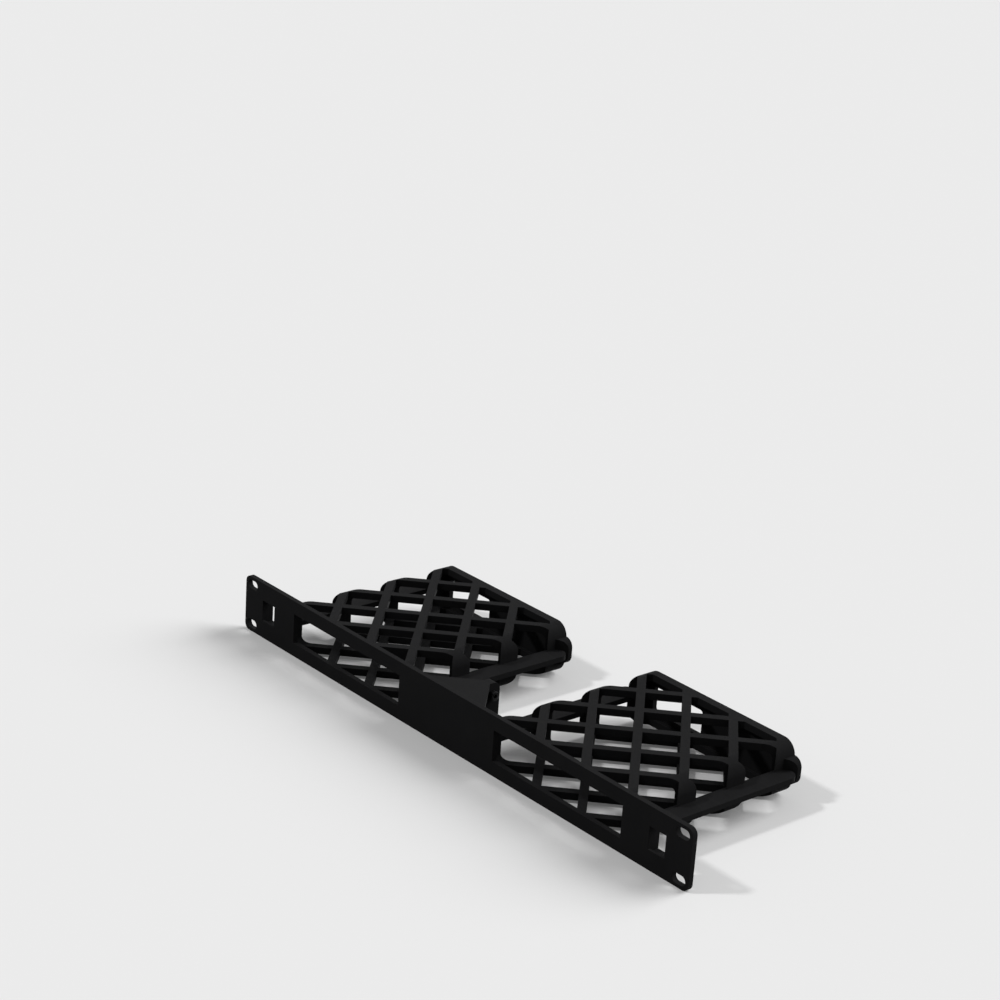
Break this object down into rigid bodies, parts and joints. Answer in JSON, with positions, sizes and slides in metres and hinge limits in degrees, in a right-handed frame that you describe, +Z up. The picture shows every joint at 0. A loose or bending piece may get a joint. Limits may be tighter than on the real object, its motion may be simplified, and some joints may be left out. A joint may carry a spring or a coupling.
{
  "type": "rack mount bracket",
  "caption": "Black printed rack panel carrying small network devices side by side in diamond-lattice cages, with snap-in jack windows beside the rack slots.",
  "frame": {"origin": "middle of the rack slots, on the back face of the panel", "axes": "+X along the panel to the right as seen from the front, +Y from the panel back into the rack, +Z up"},
  "size_m": [0.4826, 0.1492, 0.0436],
  "materials": {
    "printed_plastic": "satin",
    "black_steel": "black oxide"
  },
  "bodies": {
    "root": {"left_half": "printed_plastic", "right_half": "printed_plastic", "joint_bolts": "black_steel", "joint_nuts": "black_steel"}
  },
  "joints": []
}
